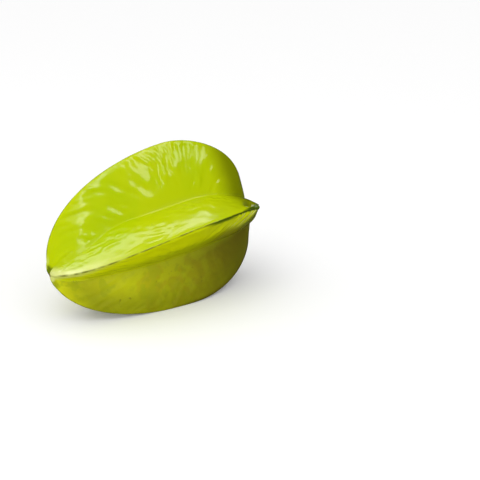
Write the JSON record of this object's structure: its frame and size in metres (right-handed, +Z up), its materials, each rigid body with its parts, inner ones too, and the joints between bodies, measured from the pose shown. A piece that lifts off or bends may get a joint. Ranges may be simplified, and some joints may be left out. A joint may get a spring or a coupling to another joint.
{
  "type": "star fruit",
  "caption": "Whole ripe carambola with deep ribs that give it a star section, lying on its two lower ribs as picked.",
  "frame": {"origin": "middle of the bounding box in plan, at the height of the surface the fruit lies on", "axes": "+X along the fruit from the tapered blossom end to the fuller stalk end, which lies about 5 degrees higher; +Y across the fruit; +Z up"},
  "size_m": [0.1112, 0.0708, 0.0763],
  "materials": {
    "fruit_skin": "waxy, softly glossy lime-green skin, slightly translucent, with olive shading and thin brown scuffs along the rib edges"
  },
  "bodies": {
    "root": {"fruit": "fruit_skin"}
  },
  "joints": []
}
